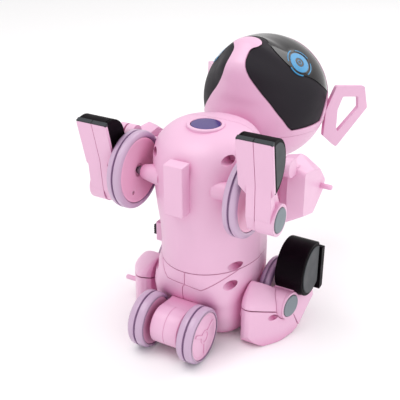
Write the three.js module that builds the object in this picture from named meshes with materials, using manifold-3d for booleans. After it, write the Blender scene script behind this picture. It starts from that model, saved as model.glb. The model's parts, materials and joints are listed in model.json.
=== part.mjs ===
// A robot dog toy that sits up on its rump: a hollow body in two halves, a rump, a visored head on a
// turning neck, jointed legs with rubber paws, and six free wheels. One hind foot is off, which leaves
// a bare peg. Millimetres, +Z up, Y from the belly (negative) to the back (positive), X from side to
// side, and the floor at Z = 0.
import * as THREE from "three";
import { mergeVertices } from "three/addons/utils/BufferGeometryUtils.js";
import Module from "manifold-3d";

const wasm = await Module();
wasm.setup();

// ---- driving dimensions, measured from the front axle's Y and from the floor ----
const CENTRE_Y = 65.65; // the object's middle in Y: everything is shifted back by this
const GAP = 0.3; // between pieces that meet
const RUN = 0.5; // between pieces that turn on each other
const WALL = 2.4; // moulded shells

const FRONT_WHEEL = { x: 47.3, y: 0, z: 133.1, radius: 30, half: 5.6, hub: 25 };
const TAIL_WHEEL = { x: 21.3, y: -25.6, z: 22, radius: 22, half: 6.7, hub: 18.8 };
const HIND_WHEEL = { x: 47, y: 56.4, z: 26.3, radius: 26, half: 5, hub: 21.5 };
const AXLE_RADIUS = 2;

const WAIST_Z = 61.5; // seam between the body and the rump
const SPLIT_Y = 41; // seam between the front and the back halves
const BODY_SIDES = 36;
const CAVITY_SIDES = 20;
// Each section of the body: height, half width, belly and back in Y, and how square its front is.
const BODY = [
  { z: WAIST_Z, half: 40, front: -9, back: 91, power: 2 },
  { z: 76, half: 39.4, front: -9.5, back: 91, power: 2 },
  { z: 92, half: 39.6, front: -11, back: 91, power: 2 },
  { z: 108, half: 40.8, front: -12.8, back: 90, power: 2.05 },
  { z: 124, half: 41.2, front: -13.6, back: 85.5, power: 2.1 },
  { z: 138, half: 41.2, front: -13.4, back: 76.5, power: 2.1 },
  { z: 148, half: 40.8, front: -11.5, back: 72.5, power: 2.1 },
  { z: 156, half: 39, front: -7.5, back: 70, power: 2.1 },
  { z: 162, half: 34.5, front: -1.5, back: 66.5, power: 2.1 },
  { z: 166, half: 29, front: 6, back: 61, power: 2.1 },
  { z: 168.3, half: 22, front: 14, back: 53, power: 2.1 },
  { z: 169.2, half: 12, front: 22, back: 43, power: 2.1 },
];
const RUMP = [
  { z: 0, half: 29, front: 11, back: 70, power: 3 },
  { z: 1.6, half: 33, front: 6, back: 75, power: 3.2 },
  { z: 6, half: 36.5, front: 3, back: 80, power: 3.4 },
  { z: 14, half: 38.6, front: 0, back: 85, power: 3.5 },
  { z: 22, half: 39.6, front: -2.8, back: 88, power: 3.6 },
  { z: 30, half: 40, front: -4.2, back: 89.5, power: 3.6 },
  { z: 38, half: 40, front: -7.5, back: 90.5, power: 3.4 },
  { z: 50, half: 40, front: -9, back: 91, power: 2.7 },
  { z: WAIST_Z - GAP, half: 40, front: -9, back: 91, power: 2 },
];

const LENS = { y: 25, z: 170, radius: 11.3 };
const NECK = { z: 143, radius: 10, from: 60, to: 92 };
const BELLY_COVER = { half: 7.8, front: -23.1, bottom: 115, top: 154.2 };
const DOOR = { half: 24, bottom: 74, top: 128 }; // the battery door in the back
const SWITCH = { y: 16.5, z: 77, half: 3.5, tall: 4.5, out: -40.5, in: -30, play: 0.5, travel: 2.5 };
const CONE = { wide: 9, narrow: 5, from: 24, to: 39.5 }; // bosses that carry the front axle
const BODY_SCREWS = [[-26, 152, -6], [26, 152, -6], [-25, 68, 0], [25, 68, 0]]; // X, Z and the face's Y
const RUMP_SCREWS = [[-25, 52, -2], [25, 52, -2]];
const HOUSING_ARM = { half: 12, bottom: 9.3, top: 34.7, to: 7.5 }; // joins the tail barrel to the rump
const TAIL_BARREL = 15;

const HEAD = { y: 126.9, z: 160.2, radius: 52 };
const HEAD_SEAM_Z = 142.5; // between the rear shell and the face frame
// The visor's lower and rear edge, seen from the side, in Y and Z.
const VISOR_EDGE = [
  [149.5, 240], [149, 181], [148, 174], [145.5, 168], [137, 164.5], [130, 158.5], [127, 153], [125, 148.5],
  [40, 147],
];
const EAR_THICKNESS = 4;
const EAR_TURN = { x: 0.64, y: 0.7684 }; // which way an ear points, out and back
const EYE = { x: 34, y: 115, z: 197.6, radius: 10, back: -3, front: 0 };

const SHOULDER = { y: 20.4, z: 152 }; // pivot of the front leg
const ARM_LENGTH = 43.2;
const ARM_DOWN = { left: 0.525, right: 1.005 }; // how far the arm points below the belly's direction
const FOREARM_LEAN = { left: 0.166, right: 0.24 }; // how far the forearm leans out from upright
const PIN = 2.2; // radius of the shoulder and elbow pins
const HIP = { y: 20, z: 23, radius: 6 };
const LEG_PEG = { y: 22, z: 17.5, radius: 2, from: 62, to: 75 }; // where a hind foot is off
const KNEE = { y: 32.3, z: 30.4 };
const PAW = { y: 24, z: 22.5, radius: 22 }; // the hind paw, from the knee
const LEG_INNER = 54; // the forearms lie outboard of this, clear of the wheels
const SHANK_INNER = 56; // and the lower hind legs outboard of this, clear of the thigh's plate
const LEG_OUTER = 80;
const KNEE_SWEEP = [5, 11, 17, 22]; // angles the knee is cleared for, up to its limit of 20 degrees
const LID_LINE = { z: 36.7, slope: -0.37 }; // gap between the two thigh covers

const COLOURS = {
  pink: { color: 0xf6c9e2, roughness: 0.35 },
  hub: { color: 0xee9fc4, roughness: 0.4 },
  tyre: { color: 0xcbbbd9, roughness: 0.45 },
  rubber: { color: 0x1a0d17, roughness: 0.6 },
  charcoal: { color: 0x2e2b2f, roughness: 0.5 },
  visor: { color: 0x151316, roughness: 0.08 },
  grey: { color: 0x8a8e93, roughness: 0.5 },
  lens: { color: 0x5b3f86, roughness: 0.15 },
  eye: { color: 0x4fb2e0, roughness: 0.2 },
  steel: { color: 0xb8bcc2, roughness: 0.3, metalness: 1 },
  board: { color: 0x2f7a4d, roughness: 0.6 },
  dark: { color: 0x333338, roughness: 0.6 },
};

// ---- shared helpers ----
const dog = new THREE.Group();
dog.position.y = -CENTRE_Y;

// A closed geometry as a solid that can be cut and joined.
function solid(geometry) {
  const bare = new THREE.BufferGeometry();
  bare.setAttribute("position", geometry.getAttribute("position").clone());
  if (geometry.index) bare.setIndex(geometry.index.clone());
  const merged = mergeVertices(bare, 1e-4);
  return new wasm.Manifold(
    new wasm.Mesh({
      numProp: 3,
      vertProperties: new Float32Array(merged.attributes.position.array),
      triVerts: new Uint32Array(merged.index.array),
    }),
  );
}

// A named piece, from a solid, in a group.
function piece(name, shape, colour, parent = dog) {
  const mesh = shape.getMesh();
  const geometry = new THREE.BufferGeometry();
  geometry.setAttribute("position", new THREE.BufferAttribute(mesh.vertProperties, 3));
  geometry.setIndex(new THREE.BufferAttribute(mesh.triVerts, 1));
  geometry.computeVertexNormals();
  const made = new THREE.Mesh(geometry, new THREE.MeshStandardMaterial(COLOURS[colour]));
  made.name = name;
  parent.add(made);
  return made;
}

function joined(shapes) {
  return shapes.reduce((sum, shape) => sum.add(shape));
}

function cut(shape, tools) {
  return tools.reduce((rest, tool) => rest.subtract(tool), shape);
}

function box(from, to) {
  const size = to.map((value, i) => value - from[i]);
  const centre = to.map((value, i) => (value + from[i]) / 2);
  return solid(new THREE.BoxGeometry(...size).translate(...centre));
}

const AXES = {
  x: new THREE.Matrix4().makeRotationZ(-Math.PI / 2),
  y: new THREE.Matrix4(),
  z: new THREE.Matrix4().makeRotationX(Math.PI / 2),
};

// A round bar along an axis through a point, with its ends at two distances along that axis.
function bar(axis, radius, from, to, point, sides = 24, radiusTo = radius) {
  const geometry = new THREE.CylinderGeometry(radiusTo, radius, to - from, sides);
  geometry.translate(0, (from + to) / 2, 0).applyMatrix4(AXES[axis]);
  return solid(geometry.translate(...point));
}

// The same bar on one side of the middle, given by its distances outwards.
function sideBar(side, radius, from, to, point, sides = 24, radiusTo = radius) {
  if (side > 0) return bar("x", radius, from, to, point, sides, radiusTo);
  return bar("x", radiusTo, -to, -from, point, sides, radius);
}

function outline(points) {
  return new THREE.Shape(points.map(([a, b]) => new THREE.Vector2(a, b)));
}

// An outline in Y and Z, as deep in X as from one side to the other.
function slabX(shape, from, to) {
  const geometry = new THREE.ExtrudeGeometry(shape, {
    depth: to - from,
    bevelEnabled: false,
    curveSegments: 8,
  });
  const turn = new THREE.Matrix4().makeBasis(
    new THREE.Vector3(0, 1, 0),
    new THREE.Vector3(0, 0, 1),
    new THREE.Vector3(1, 0, 0),
  );
  return solid(geometry.applyMatrix4(turn).translate(from, 0, 0));
}

// An outline in X and Z, as deep in Y as from one side to the other.
function slabY(shape, from, to) {
  const geometry = new THREE.ExtrudeGeometry(shape, { depth: to - from, bevelEnabled: false });
  return solid(geometry.rotateX(Math.PI / 2).translate(0, to, 0));
}

// An outline in X and Y, as tall in Z as from one height to the other.
function slabZ(shape, from, to) {
  const geometry = new THREE.ExtrudeGeometry(shape, { depth: to - from, bevelEnabled: false });
  return solid(geometry.translate(0, 0, from));
}

// The skin of a body through its sections, drawn in by a margin.
function loft(sections, margin = 0, sides = BODY_SIDES) {
  const curve = (value, power) => Math.sign(value) * Math.abs(value) ** (2 / power);
  const rings = sections.map(({ z, half, front, back, power }) => {
    const ring = [];
    const deep = (back - front) / 2 - margin;
    for (let i = 0; i < sides; i++) {
      const angle = (2 * Math.PI * i) / sides;
      const square = Math.sin(angle) < 0 ? power : 2;
      const x = (half - margin) * curve(Math.cos(angle), square);
      ring.push([x, (front + back) / 2 + deep * curve(Math.sin(angle), square), z]);
    }
    return ring;
  });
  return stack(rings);
}

// A closed solid through rings that have the same number of points.
function stack(rings) {
  const sides = rings[0].length;
  const positions = rings.flat(2);
  const faces = [];
  const last = (rings.length - 1) * sides;
  for (let ring = 0; ring < last; ring += sides) {
    for (let i = 0; i < sides; i++) {
      const next = (i + 1) % sides;
      faces.push(ring + i, ring + next, ring + sides + next);
      faces.push(ring + i, ring + sides + next, ring + sides + i);
    }
  }
  for (let i = 1; i < sides - 1; i++) {
    faces.push(0, i + 1, i);
    faces.push(last, last + i, last + i + 1);
  }
  const geometry = new THREE.BufferGeometry();
  geometry.setAttribute("position", new THREE.Float32BufferAttribute(positions, 3));
  geometry.setIndex(faces);
  return solid(geometry);
}

// The same sections with their ends pushed along Z, for cavities and clearances.
function stretched(sections, bottom, top) {
  return sections.map((section, i) => {
    const push = i === 0 ? bottom : i === sections.length - 1 ? top : 0;
    return { ...section, z: section.z + push };
  });
}

const FRONT_HALF = box([-200, -200, -50], [200, SPLIT_Y - GAP / 2, 400]);
const BACK_HALF = box([-200, SPLIT_Y + GAP / 2, -50], [200, 300, 400]);

// ---- body ----
// A blind screw well in a boss, opening towards the belly.
function screwWell(x, z, front, depth = 9) {
  return {
    boss: bar("y", 5, front, front + depth + 4, [x, 0, z], 16),
    well: bar("y", 3.4, -60, front + depth, [x, 0, z], 16),
  };
}

function makeBody() {
  const outer = loft(BODY);
  const inner = loft(stretched(BODY, WALL, -WALL), WALL, CAVITY_SIDES);
  const shell = outer.subtract(inner);
  const wells = BODY_SCREWS.map((spot) => screwWell(...spot));
  const bosses = wells.map(({ boss }) => boss.intersect(outer));
  const onAxle = [0, FRONT_WHEEL.y, FRONT_WHEEL.z];
  const cones = [-1, 1].map((side) => sideBar(side, CONE.wide, CONE.from, CONE.to, onAxle, 20, CONE.narrow));
  const lensBoss = bar("z", LENS.radius + 3, LENS.z - 12, LENS.z - 0.5, [0, LENS.y, 0], 32);
  const front = joined([shell, ...bosses, ...cones, lensBoss]).intersect(FRONT_HALF);
  const shaft = bar("x", AXLE_RADIUS + GAP, -60, 60, onAxle, 16);
  const lensWell = bar("z", LENS.radius + GAP, LENS.z - 4, LENS.z + 5, [0, LENS.y, 0], 32);
  const reach = SWITCH.tall + SWITCH.travel;
  const slot = box(
    [-60, SWITCH.y - SWITCH.half - SWITCH.play, SWITCH.z - reach],
    [-20, SWITCH.y + SWITCH.half + SWITCH.play, SWITCH.z + reach],
  );
  piece("chest_front_shell", cut(front, [...wells.map(({ well }) => well), shaft, lensWell, slot]), "pink");
  const knob = box(
    [SWITCH.out, SWITCH.y - SWITCH.half, SWITCH.z - SWITCH.tall],
    [SWITCH.in, SWITCH.y + SWITCH.half, SWITCH.z + SWITCH.tall],
  );
  piece("power_switch", knob, "dark");
  piece("sensor_lens", bar("z", LENS.radius, LENS.z - 4 + GAP, LENS.z, [0, LENS.y, 0], 32), "lens");
  const cover = box(
    [-BELLY_COVER.half, BELLY_COVER.front, BELLY_COVER.bottom],
    [BELLY_COVER.half, 0, BELLY_COVER.top],
  );
  piece("belly_cover", cover.subtract(loft(BODY, -GAP)), "pink");

  const neckHole = bar("y", NECK.radius + GAP, 50, 100, [0, 0, NECK.z], 32);
  const back = shell.intersect(BACK_HALF).subtract(neckHole);
  piece("chest_back_shell", back.subtract(doorBlock(GAP)), "pink");
  piece("battery_door", outer.subtract(loft(BODY, WALL)).intersect(doorBlock(0)), "pink");
  piece("neck_post", bar("y", NECK.radius, NECK.from, NECK.to, [0, 0, NECK.z], 32), "pink");
}

function doorBlock(grow) {
  return box(
    [-DOOR.half - grow, 60, DOOR.bottom - grow],
    [DOOR.half + grow, 110, DOOR.top + grow],
  );
}

function makeRump() {
  const outer = loft(RUMP);
  const inner = loft(stretched(RUMP, WALL, 0.1), WALL, CAVITY_SIDES);
  const wells = RUMP_SCREWS.map((spot) => screwWell(...spot));
  const bosses = wells.map(({ boss }) => boss.intersect(outer));
  const axle = bar("x", AXLE_RADIUS + GAP, -60, 60, [0, HIND_WHEEL.y, HIND_WHEEL.z], 16);
  const hips = [-1, 1].map((side) => sideBar(side, HIP.radius + RUN, 30, 60, [0, HIP.y, HIP.z]));
  const { half, bottom, top, to } = HOUSING_ARM;
  const room = half + GAP;
  const barrel = bar("x", TAIL_BARREL + GAP, -room, room, [0, TAIL_WHEEL.y, TAIL_WHEEL.z], 36);
  const arm = box([-room, TAIL_WHEEL.y, bottom - GAP], [room, to + 0.5, top + GAP]);
  const tools = [...wells.map(({ well }) => well), axle, ...hips, barrel, arm];
  const shell = cut(joined([outer.subtract(inner), ...bosses]), tools);
  piece("rump_front_shell", shell.intersect(FRONT_HALF), "pink");
  piece("rump_back_shell", shell.intersect(BACK_HALF), "pink");
}

// The tail axle's housing: a fat barrel between the two small wheels, on a short arm from the rump.
function makeTailHousing() {
  const { y, z } = TAIL_WHEEL;
  const { half, bottom, top, to } = HOUSING_ARM;
  const barrel = bar("x", TAIL_BARREL, -half, half, [0, y, z], 36);
  const arm = box([-half, y, bottom], [half, to, top]);
  const shaft = bar("x", AXLE_RADIUS + GAP, -40, 40, [0, y, z], 16);
  piece("tail_axle_housing", barrel.add(arm).subtract(shaft), "pink");
}

// ---- inside ----
function makeInside() {
  piece("battery_pack", box([-20, 56, 76], [20, 71, 118]), "dark");
  piece("circuit_board", box([-26, 40, 72], [26, 42, 118]), "board");
  piece("speaker", bar("y", 16, 44.5, 54, [0, 0, 96], 32), "dark");
  piece("drive_motor", bar("x", 10, -15, 15, [0, 18, 116], 28), "steel");
  piece("leg_motor", bar("x", 11, -17, 17, [0, 34, 24], 28), "steel");
}

// ---- wheels ----
// A turned profile about the X axis: points are radius and distance along X.
function turned(points, sides = 24) {
  const profile = points.map(([radius, along]) => new THREE.Vector2(radius, along));
  const geometry = new THREE.LatheGeometry(profile, sides);
  return solid(geometry.applyMatrix4(AXES.x));
}

function makeWheel(name, wheel, side) {
  const { radius, half, hub } = wheel;
  const bore = AXLE_RADIUS + GAP;
  const group = new THREE.Group();
  group.position.set(side * wheel.x, wheel.y, wheel.z);
  dog.add(group);
  const rim = [
    [bore, -half + 2.5],
    [6, -half + 2.5],
    [hub, -half + 0.6],
    [hub, half - 0.6],
    [bore, half - 0.6],
    [bore, -half + 2.5],
  ];
  const dish = side > 0 ? rim : rim.map(([r, along]) => [r, -along]).reverse();
  piece(`${name}_hub`, turned(dish), "hub", group);
  const inside = hub + GAP;
  const tread = [
    [inside, -half],
    [radius - 1.4, -half],
    [radius, -half + 1.8],
    [radius, -0.8],
    [radius - 1, 0],
    [radius, 0.8],
    [radius, half - 1.8],
    [radius - 1.4, half],
    [inside, half],
    [inside, -half],
  ];
  piece(`${name}_tyre`, turned(tread), "tyre", group);
}

function makeAxle(name, wheel, end) {
  piece(name, bar("x", AXLE_RADIUS, -end, end, [0, wheel.y, wheel.z], 16), "steel");
}

// ---- head ----
// How far the muzzle stands out of the ball, by the angle up from straight forwards, in degrees.
const MUZZLE = [
  [-180, 0], [-40, 0], [-12, -1.5], [9, -2.2], [17, 1.5], [26, 6.8], [37, 16.5], [42, 16.5], [48, 15.5],
  [56, 16], [62, 14], [68, 9], [75, 4], [88, 0.5], [100, 0], [180, 0],
];
const MUZZLE_SPREAD = 0.42; // how quickly the muzzle falls away to the sides, in radians

function muzzle(degrees) {
  const after = Math.max(1, MUZZLE.findIndex(([angle]) => angle >= degrees));
  const [a, from] = MUZZLE[after - 1];
  const [b, to] = MUZZLE[after];
  return from + ((to - from) * (degrees - a)) / (b - a);
}

function headSolid(margin, around, across) {
  const positions = [];
  const faces = [];
  const point = (turn, side) => {
    const spread = Math.exp(-((side / MUZZLE_SPREAD) ** 2));
    const radius = HEAD.radius - margin + spread * muzzle((turn * 180) / Math.PI);
    const flat = radius * Math.cos(side);
    return [
      radius * Math.sin(side),
      HEAD.y - flat * Math.cos(turn),
      HEAD.z + flat * Math.sin(turn),
    ];
  };
  for (let j = 1; j < across; j++) {
    for (let i = 0; i < around; i++) {
      positions.push(...point(-Math.PI + (2 * Math.PI * i) / around, Math.PI * (j / across - 0.5)));
    }
  }
  const poles = positions.length / 3;
  positions.push(...point(0, -Math.PI / 2), ...point(0, Math.PI / 2));
  for (let i = 0; i < around; i++) {
    const next = (i + 1) % around;
    for (let j = 0; j < across - 2; j++) {
      const row = j * around;
      faces.push(row + i, row + around + next, row + next);
      faces.push(row + i, row + around + i, row + around + next);
    }
    const top = (across - 2) * around;
    faces.push(poles, i, next);
    faces.push(poles + 1, top + next, top + i);
  }
  const geometry = new THREE.BufferGeometry();
  geometry.setAttribute("position", new THREE.Float32BufferAttribute(positions, 3));
  geometry.setIndex(faces);
  return solid(geometry);
}

// Half the width of the chin strip at each height, with the nose pad at its top.
const STRIP = [
  [40.5, 147], [38, 151], [35, 157.5], [30, 165], [25.5, 171.5], [20, 178.5], [16, 184.5], [12.5, 190.5],
  [10, 196], [8, 201.5], [7, 205], [6.6, 208.5], [7, 211], [9, 212.6], [11.8, 213.4], [13, 215.5], [13, 219.5],
];
const STRIP_BACK = 98.5; // where the nose pad ends on top of the muzzle

function stripOutline(extra) {
  const right = STRIP.map(([half, z]) => [half + extra, z]);
  const left = STRIP.map(([half, z]) => [-half - extra, z]).reverse();
  return outline([...left, ...right].reverse());
}

// The crease between the cheeks and the brow, seen from the side, in Y and Z.
const CREASE = [
  [113, 218], [106, 215], [101.6, 213], [99.6, 209.5], [100, 205.4], [101.6, 200.6], [103.7, 195.4],
  [106.5, 191.5], [111.3, 188.7], [117.2, 185.6], [122.9, 181.6], [128.3, 177], [135.3, 172.3], [150, 163],
];

function makeHead() {
  const group = new THREE.Group();
  dog.add(group);
  const neckHole = bar("y", NECK.radius + RUN, 50, 110, [0, 0, NECK.z], 32);
  const shell = headSolid(0, 44, 24).subtract(headSolid(WALL, 22, 12));
  piece("head_rear_shell", shell.intersect(rearZone(0)).subtract(neckHole), "pink", group);
  const frame = shell.intersect(frameZone(0));
  piece("face_frame", cut(frame, [rearZone(GAP), neckHole]), "pink", group);

  const mask = cut(shell, [frameZone(GAP), rearZone(0)]);
  const above = [[250, 163], [250, 260], [113, 260]];
  const brow = slabX(outline([...above, ...CREASE]), -80, 80);
  const topFrom = 210; // over this the crease faces up, and under it down and forwards
  const clear = CREASE.map(([y, z]) => [y - GAP, z < topFrom ? z - 0.2 : z + GAP]);
  const raised = slabX(outline([...above, ...clear]), -80, 80);
  const holes = [-1, 1].map((side) => eyeLens(side, EYE.radius + GAP, -12, 12));
  piece("visor_brow", cut(mask.intersect(brow), holes), "visor", group);
  piece("visor_cheeks", cut(mask, [raised, ...holes]), "charcoal", group);
  piece("eye_left", eyeLens(1, EYE.radius, EYE.back, EYE.front), "eye", group);
  piece("eye_right", eyeLens(-1, EYE.radius, EYE.back, EYE.front), "eye", group);
  makeEar("ear_left", 1, group);
  makeEar("ear_right", -1, group);
}

// The space of the head's rear shell: under a level seam, then up the back of the head.
function rearZone(grow) {
  const seam = HEAD_SEAM_Z - GAP + grow;
  const rise = [[127, seam - 1], [200, seam - 1], [200, 183 + grow], [127, seam + 0.5]];
  return box([-80, 40, 80], [80, 200, seam]).add(slabX(outline(rise), -80, 80));
}

// The space of the pink frame: all around and behind the visor, and the chin strip.
function frameZone(grow) {
  const low = HEAD_SEAM_Z - 10;
  const edge = VISOR_EDGE.map(([y, z]) => [y - 0.7 * grow, z + 0.7 * grow]);
  const band = outline([[40, low], [200, low], [200, 240], ...edge]);
  return slabX(band, -80, 80).add(slabY(stripOutline(grow), 40, STRIP_BACK + grow));
}

// A disc in the brow, square to the head's surface.
function eyeLens(side, radius, from, to) {
  const centre = new THREE.Vector3(0, HEAD.y, HEAD.z);
  const place = new THREE.Vector3(side * EYE.x, EYE.y, EYE.z);
  const out = place.clone().sub(centre).normalize();
  const seat = centre.clone().addScaledVector(out, HEAD.radius);
  const geometry = new THREE.CylinderGeometry(radius, radius, to - from, 28);
  geometry.translate(0, (from + to) / 2, 0);
  geometry.applyQuaternion(new THREE.Quaternion().setFromUnitVectors(new THREE.Vector3(0, 1, 0), out));
  return solid(geometry.translate(seat.x, seat.y, seat.z));
}

// A flat hollow ear: an outline in the plane that holds Z and points out and back from the head.
function makeEar(name, side, parent) {
  const rim = [[6.9, 174], [33.1, 171], [37.3, 152], [10.1, 120.1], [-2.7, 132.2], [-1.9, 154.1]];
  const hole = [[13.3, 164.3], [27.6, 162.6], [28.6, 153.1], [10.4, 133.9], [9.1, 137.6], [9.2, 153.5]];
  const shape = outline(rim.reverse());
  shape.holes.push(new THREE.Path(hole.map(([a, b]) => new THREE.Vector2(a, b))));
  const geometry = new THREE.ExtrudeGeometry(shape, { depth: EAR_THICKNESS, bevelEnabled: false });
  geometry.translate(0, 0, -EAR_THICKNESS / 2);
  const turn = new THREE.Matrix4().makeBasis(
    new THREE.Vector3(EAR_TURN.x, EAR_TURN.y, 0),
    new THREE.Vector3(0, 0, 1),
    new THREE.Vector3(EAR_TURN.y, -EAR_TURN.x, 0),
  );
  geometry.applyMatrix4(turn).translate(51, 138, 0);
  const ear = solid(geometry).subtract(headSolid(-GAP, 44, 24));
  const made = piece(name, ear, "pink", parent);
  made.scale.x = side;
}

// ---- front legs ----
// Sections of the shoulder housing, each at its distance from the middle, in Y and Z.
const HOUSING = [
  { x: 56, points: [[28, 107], [42, 104], [61, 115], [65, 127], [59, 142], [48, 149], [30, 147]] },
  { x: 66, points: [[24, 105], [42, 102], [64, 113], [68, 127], [62, 144], [50, 151], [26, 150]] },
  { x: 79, points: [[24, 113], [47, 107], [66, 119], [68.5, 126], [56, 139.5], [44, 142.8], [24, 147.5]] },
];

function makeFrontLeg(name, side) {
  const body = new THREE.Group();
  body.scale.x = side;
  dog.add(body);
  const rings = HOUSING.map(({ x, points }) => points.map(([y, z]) => [x, y, z]));
  const { y, z } = SHOULDER;
  const root = slabX(outline([[32, 116], [56, 118], [58, 136], [36, 146]]), 40, 60);
  const lug = joined([
    bar("x", 7, 66.5, 72, [0, y, z], 24),
    box([66.5, y, z - 7], [72, 34, z - 3]),
    bar("x", PIN, 58, 67, [0, y, z], 16),
  ]);
  const peg = bar("x", LEG_PEG.radius, 78, 88, [0, 60, 124], 12);
  const swing = box([57.5, 0, 90], [65.5 + RUN, 33, 180]);
  const housing = joined([stack(rings), root]).subtract(swing).subtract(loft(BODY, -GAP));
  piece(`shoulder_housing_${name}`, joined([housing, lug, peg]), "pink", body);

  const arm = new THREE.Group();
  arm.position.set(0, SHOULDER.y, SHOULDER.z);
  arm.rotation.x = ARM_DOWN[name];
  body.add(arm);
  const link = joined([
    bar("x", 7, 58, 65, [0, 0, 0], 24),
    box([58, -ARM_LENGTH, -5], [65, 0, 5]),
    bar("x", 5, 58, 65, [0, -ARM_LENGTH, 0], 24),
  ]);
  const bores = [0, -ARM_LENGTH].map((at) => bar("x", PIN + GAP, 50, 70, [0, at, 0], 16));
  piece(`upper_arm_${name}`, cut(link, bores), "pink", arm);

  const forearm = new THREE.Group();
  forearm.position.y = -ARM_LENGTH;
  forearm.rotation.x = FOREARM_LEAN[name] - ARM_DOWN[name];
  arm.add(forearm);
  const panel = slabX(outline([[-7.3, -8], [-5, -8], [-5, 61], [-7.3, 61.5]]), LEG_INNER, LEG_OUTER);
  const notch = box([LEG_INNER - 1, -20, -20], [60, 20, 26]);
  const step = slabX(outline([[-20, -12], [20, -12], [20, 24], [-20, 24]]), 76.5, LEG_OUTER + 1);
  const block = slabX(outline([[-5.1, -8], [7, -8], [8.5, 4], [3, 22.5], [-5.1, 22.5]]), 60, 76.5);
  const boss = bar("x", 11.4, 66.5, LEG_OUTER, [0, 0, 0], 32);
  const recess = bar("x", 9 + GAP, LEG_OUTER - 1.5, LEG_OUTER + 2, [0, 0, 0], 32);
  const elbowSlot = bar("x", 5 + RUN, 57.5, 65.5, [0, 0, 0], 24);
  const elbowSwing = box([57.5, -4.9, -20], [65.5, 30, 30]);
  const upper = cut(panel, [notch, step]);
  const lower = cut(joined([upper, block, boss]), [recess, elbowSlot, elbowSwing]);
  const pin = bar("x", PIN, 58, 67, [0, 0, 0], 16);
  piece(`forearm_${name}`, lower.add(pin), "pink", forearm);
  const cap = bar("x", 9, LEG_OUTER - 1.5 + GAP, LEG_OUTER + 0.8, [0, 0, 0], 32);
  piece(`elbow_cap_${name}`, cap, "grey", forearm);
  piece(`front_paw_${name}`, frontPaw(), "rubber", forearm);
}

// The rubber paw: a D behind the panel, rounded over its top.
function frontPaw() {
  const shape = new THREE.Shape();
  shape.moveTo(-5 + GAP, 23.2);
  shape.lineTo(0, 24.5);
  shape.bezierCurveTo(9, 29, 13.5, 38, 13, 46);
  shape.bezierCurveTo(12.5, 55, 8, 61, 0, 63);
  shape.lineTo(-5 + GAP, 62.6);
  return slabX(shape, LEG_INNER + 0.4, LEG_OUTER - 0.4);
}

// ---- hind legs ----
// The thigh from above, in X and Y: a rounded nose, then an outer face that runs out to the knee.
const THIGH_PLAN = [
  [41, 8], [43.5, 4.5], [47.5, 1.5], [51, 2.5], [54, 5.5], [60, 13], [66, 21.5], [68.5, 27], [70.5, 34],
  [74, 46], [41, 46],
];

function makeThigh(name, side, footed) {
  const body = new THREE.Group();
  body.scale.x = side;
  dog.add(body);
  const line = (y) => LID_LINE.z + LID_LINE.slope * y;
  const plate = SHANK_INNER - GAP;
  const wheelRoom = bar("x", HIND_WHEEL.radius + 7, 30, plate - 3, [0, HIND_WHEEL.y, HIND_WHEEL.z], 32);
  let plan = slabZ(outline(THIGH_PLAN), 0, 60).subtract(wheelRoom);
  if (footed) plan = plan.subtract(bar("x", 11.4 + RUN, plate, 90, [0, KNEE.y, KNEE.z], 28));

  const lid = new THREE.Shape();
  lid.moveTo(0.5, line(0.5) + 0.6);
  lid.bezierCurveTo(3, 43, 10, 47.5, 20, 47.3);
  lid.bezierCurveTo(27, 47, 33, 45, 36, 42);
  lid.lineTo(36, line(36) + 0.6);
  let cover = slabX(lid, 30, 80).intersect(plan);
  if (footed) {
    cover = cut(cover, KNEE_SWEEP.map((angle) => lowerLegRoom(angle)));
    cover = cover.add(bar("x", 3, plate - 1, 66, [0, KNEE.y, KNEE.z], 16));
  }
  piece(`thigh_upper_${name}`, cover, "pink", body);

  const tray = new THREE.Shape();
  tray.moveTo(0.3, line(0.3) - 0.6);
  tray.bezierCurveTo(-2.5, 22, 1, 5, 12, 0.3);
  tray.lineTo(30, 0.3);
  tray.lineTo(44, 3);
  tray.lineTo(45.1, 5.1);
  tray.lineTo(38.6, 19.1);
  tray.lineTo(34, line(34) - 0.6);
  const pivot = bar("x", HIP.radius, 33, 42, [0, HIP.y, HIP.z], 24);
  let base = slabX(tray, 30, 80).intersect(plan).add(pivot);
  if (!footed) {
    const { radius, from, to, y, z } = LEG_PEG;
    base = base.add(bar("x", radius, from, to, [0, y, z], 16));
  }
  piece(`thigh_lower_${name}`, base, "pink", body);
}

function makeLowerLeg(name, side) {
  const body = new THREE.Group();
  body.scale.x = side;
  dog.add(body);
  const shank = new THREE.Group();
  shank.position.set(0, KNEE.y, KNEE.z);
  body.add(shank);
  const hub = bar("x", 11.4, SHANK_INNER, 72, [0, 0, 0], 28);
  const recess = bar("x", 9 + GAP, 70.6, 80, [0, 0, 0], 28);
  const bore = bar("x", 3 + GAP, 50, 66 + RUN, [0, 0, 0], 16);
  const shin = stack([SHIN.map(([, y, z]) => [SHANK_INNER, y, z]), SHIN]);
  const pawRoom = bar("x", PAW.radius + GAP, SHANK_INNER - 1, 80, [0, PAW.y, PAW.z], 36);
  piece(`shank_${name}`, cut(hub.add(shin), [recess, bore, pawRoom]), "pink", shank);
  piece(`knee_cap_${name}`, bar("x", 9, 70.6 + GAP, 72.8, [0, 0, 0], 28), "grey", shank);
  piece(`hind_paw_${name}`, hindPaw(), "rubber", shank);
}

// The room that the lower leg takes when its knee is swung up by an angle in degrees.
function lowerLegRoom(angle) {
  const ends = [SHANK_INNER - GAP, LEG_OUTER].map((x) => SHIN.map(([, y, z]) => [x, y, z]));
  const shin = stack(ends);
  const paw = bar("x", PAW.radius + RUN, SHANK_INNER - GAP, 90, [0, PAW.y, PAW.z], 28);
  return shin.add(paw).rotate([angle, 0, 0]).translate([0, KNEE.y, KNEE.z]);
}

// The lower leg's outer face, from the knee: it runs out as it runs back, to carry the wide paw.
const SHIN = [
  [72, 7, -11], [74.3, 13.5, -25], [74.5, 17, -22.5], [77.5, 33, -6.5], [76.5, 30, 6], [73.5, 9, 15.5],
  [71, 2, 9],
];

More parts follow.
